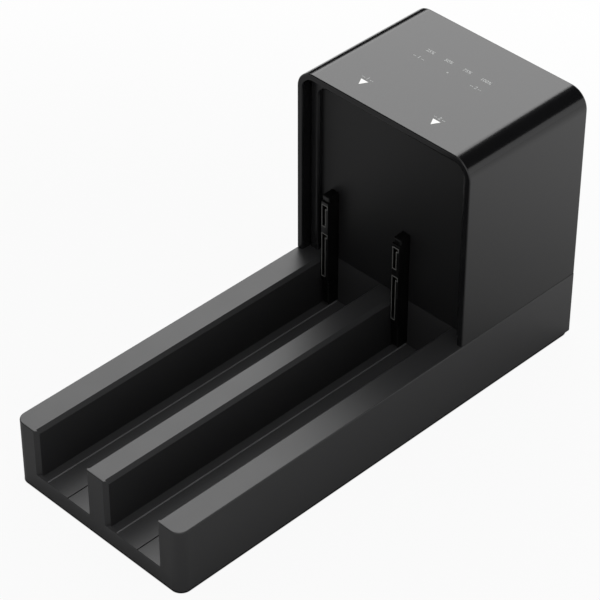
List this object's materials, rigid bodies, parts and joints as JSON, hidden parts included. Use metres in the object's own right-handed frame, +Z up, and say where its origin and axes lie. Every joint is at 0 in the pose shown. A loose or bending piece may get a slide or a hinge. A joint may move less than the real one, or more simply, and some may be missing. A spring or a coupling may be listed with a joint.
{
  "type": "drive duplicator",
  "caption": "Two-bay horizontal drive duplicator: an open tray for drives standing on edge runs back to sockets in a tower's recessed front; rear power rocker, button, USB and power jack.",
  "frame": {"origin": "middle of the footprint on the table, at the underside of the rubber feet", "axes": "+Y from the open front of the bays to the tower's back, +Z up, +X to the right seen from the front"},
  "size_m": [0.09, 0.215, 0.117],
  "materials": {
    "shell_matt": "fine-textured black ABS",
    "shell_satin": "polished black ABS",
    "panel_gloss": "gloss black ABS",
    "liner_matt": "moulded black ABS",
    "socket_black": "glass-filled nylon",
    "contact_gold": "gold-plated spring contact",
    "board_green": "solder-masked glass epoxy",
    "chip_black": "epoxy-moulded package",
    "steel": "zinc-plated steel",
    "nickel": "nickel-plated shell",
    "capacitor_can": "aluminium can",
    "lamp_white": "lamp encapsulant",
    "guide_clear": "clear acrylic",
    "rubber_black": "matt rubber",
    "port_black": "black nylon"
  },
  "bodies": {
    "housing": {"base_tray": "shell_matt", "bottom_cover": "shell_matt", "tower_hood": "shell_satin", "panel_bezel": "shell_matt", "front_panel": "panel_gloss", "bay_liner_left": "liner_matt", "bay_liner_right": "liner_matt", "socket_guard_left": "socket_black", "socket_guard_right": "socket_black", "drive_socket_left": "socket_black", "drive_socket_right": "socket_black", "socket_contacts_left": "contact_gold", "socket_contacts_right": "contact_gold", "drive_board": "board_green", "controller_chip": "chip_black", "memory_chip": "chip_black", "crystal": "nickel", "drive_power_inductors": "chip_black", "main_board": "board_green", "power_capacitors": "capacitor_can", "board_link_header": "port_black", "lamp_board": "board_green", "status_lamps": "lamp_white", "light_guides": "guide_clear", "lamp_link_header": "port_black", "port_panel": "shell_matt", "usb_shell": "nickel", "usb_insert": "port_black", "usb_contacts": "contact_gold", "power_jack": "port_black", "power_jack_pin": "nickel", "power_jack_spring": "contact_gold", "switch_frame": "port_black", "switch_terminals": "contact_gold", "duplicate_switch": "port_black", "cover_screws": "steel", "board_screws": "steel", "rubber_feet": "rubber_black"},
    "power_rocker": {"power_rocker": "port_black"},
    "duplicate_button": {"duplicate_button": "shell_satin", "duplicate_switch_plunger": "port_black"}
  },
  "joints": [
    {"name": "power_rocker_hinge", "type": "hinge", "parent": "housing", "child": "power_rocker", "pos_m": [-0.0115, 0.1027, 0.0168], "axis": [0, 0, 1], "range_deg": [0, 20]},
    {"name": "duplicate_button_slide", "type": "slide", "parent": "housing", "child": "duplicate_button", "axis": [0, -1, 0], "range_m": [0, 0.0006], "stiffness_N_per_m": 2500}
  ]
}
